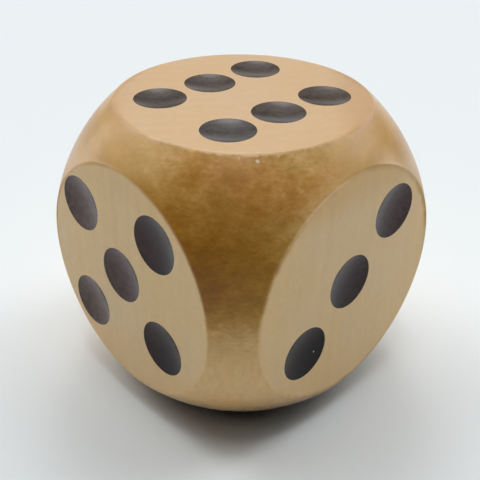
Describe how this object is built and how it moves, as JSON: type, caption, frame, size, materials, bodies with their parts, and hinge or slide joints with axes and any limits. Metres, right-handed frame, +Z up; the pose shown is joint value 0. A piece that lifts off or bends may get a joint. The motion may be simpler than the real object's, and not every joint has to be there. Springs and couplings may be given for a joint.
{
  "type": "wooden die",
  "caption": "Ball-cornered wooden die with round flat faces and shallow dark painted pips, for rolling numbers on a table.",
  "frame": {"origin": "middle of the square that bounds the die, on the face it rests on (the face with one pip)", "axes": "+Z up through the face with six pips, +X out through the face with three pips, -Y out through the face with five pips"},
  "size_m": [0.04, 0.04, 0.04],
  "materials": {
    "varnished_wood": "clear varnished pale hardwood, satin, with dark grey-black painted pips"
  },
  "bodies": {
    "root": {"die_block": "varnished_wood"}
  },
  "joints": []
}
